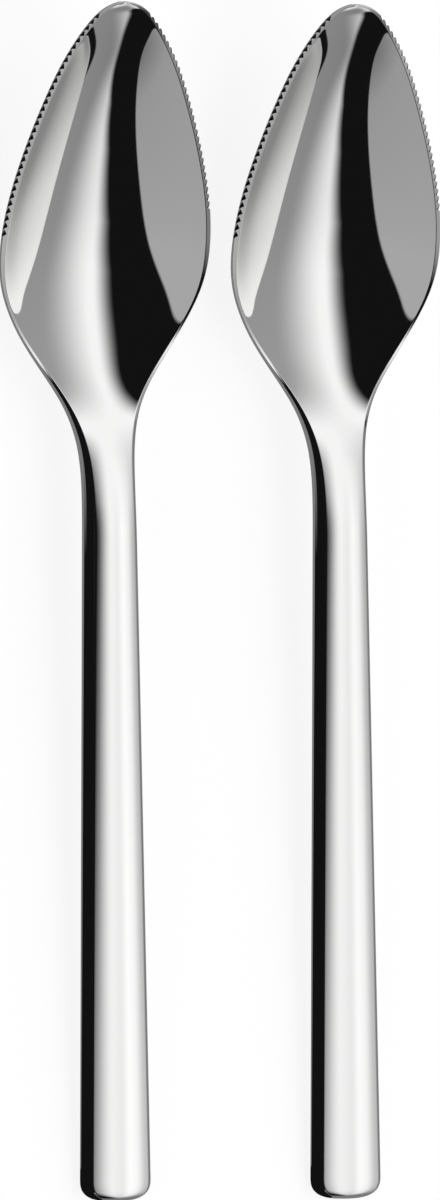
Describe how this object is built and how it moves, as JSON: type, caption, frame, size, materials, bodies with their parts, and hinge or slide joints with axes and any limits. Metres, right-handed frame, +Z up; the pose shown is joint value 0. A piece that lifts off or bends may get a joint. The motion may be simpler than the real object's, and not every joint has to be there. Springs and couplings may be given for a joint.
{
  "type": "grapefruit spoon pair",
  "caption": "Polished steel grapefruit spoons lying side by side: pointed deep bowl with a serrated rim for loosening citrus flesh, raised neck and long flat handle.",
  "frame": {"origin": "middle of the pair's box, on the table surface that the bowls and handle ends rest on", "axes": "+X to the right across the pair, +Y along the spoons toward the tips of the bowls, +Z up"},
  "size_m": [0.067, 0.1702, 0.0199],
  "materials": {
    "polished_steel": "mirror-polished stainless steel, ground grey inside the notches of the serration"
  },
  "bodies": {
    "left_spoon": {"left_spoon": "polished_steel"},
    "right_spoon": {"right_spoon": "polished_steel"}
  },
  "joints": [
    {"name": "right_spoon_lift", "type": "slide", "parent": "left_spoon", "child": "right_spoon", "axis": [0, 0, 1], "range_m": [0, 0.05]}
  ]
}
